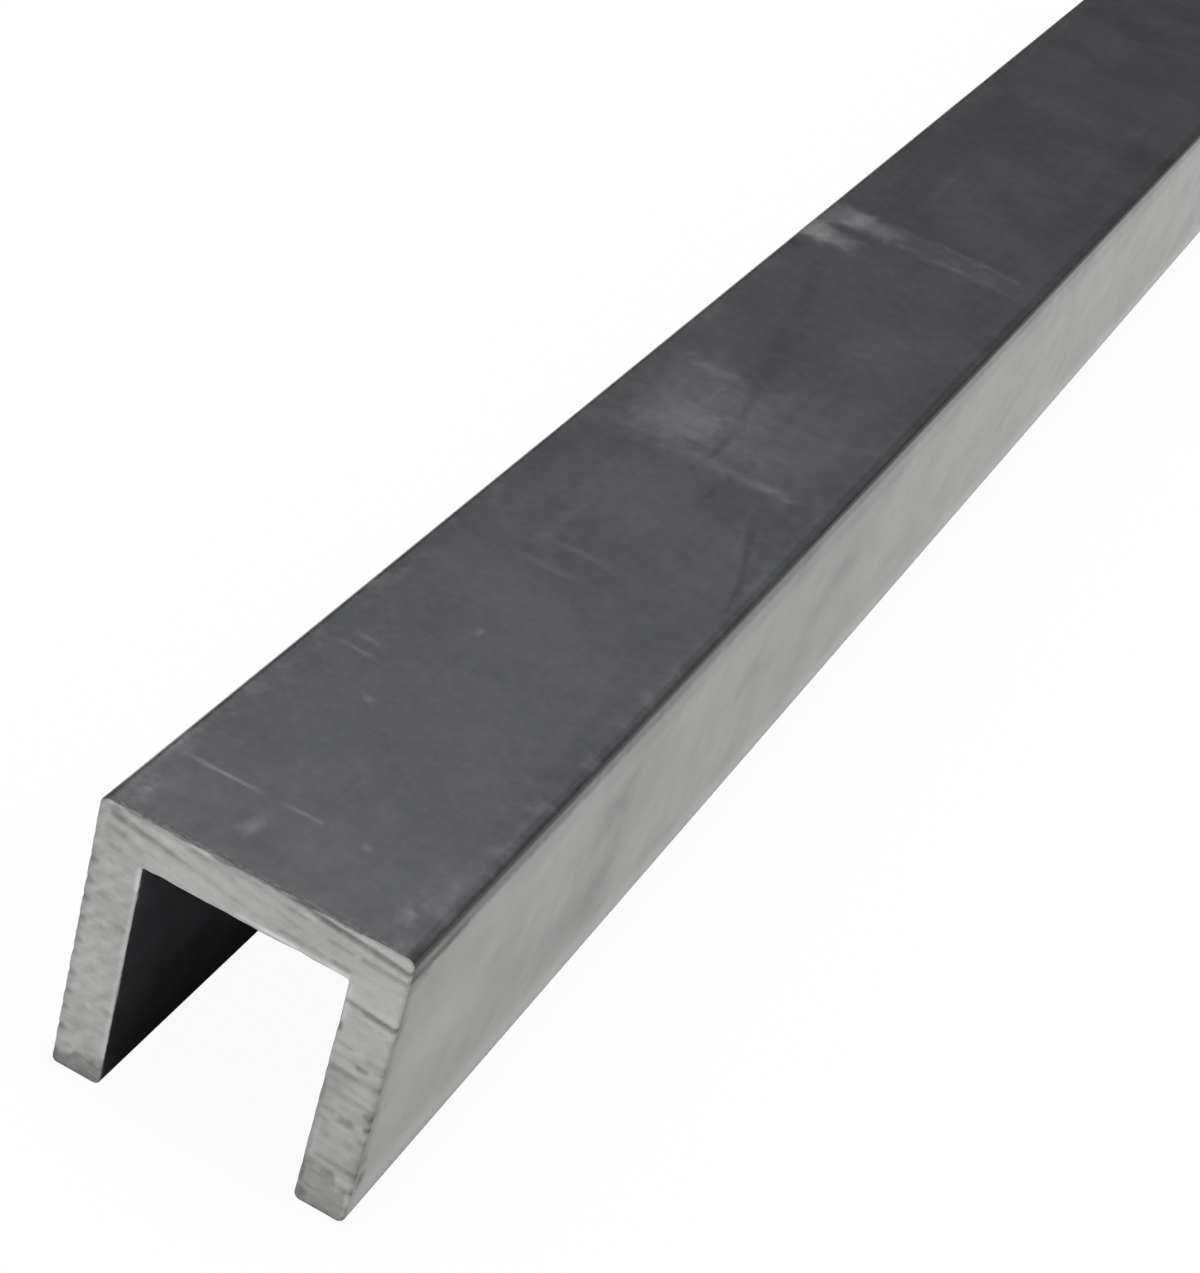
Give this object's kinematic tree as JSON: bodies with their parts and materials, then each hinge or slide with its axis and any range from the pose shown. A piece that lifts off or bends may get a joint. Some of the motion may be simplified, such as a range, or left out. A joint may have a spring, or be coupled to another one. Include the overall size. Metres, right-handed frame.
{
  "type": "metal channel section",
  "caption": "Square U-shaped channel in mill-finish aluminium, sawn square at both ends, lying on its flange toes with the web up.",
  "frame": {"origin": "middle of the footprint, on the plane that the flange toes rest on", "axes": "+X across the web, +Y along the length, +Z from the flange toes to the web"},
  "size_m": [0.019, 0.3048, 0.0191],
  "materials": {
    "mill_aluminium": "mill finish, lightly scuffed, with coarse saw marks on the cut ends"
  },
  "bodies": {
    "root": {"channel_section": "mill_aluminium"}
  },
  "joints": []
}
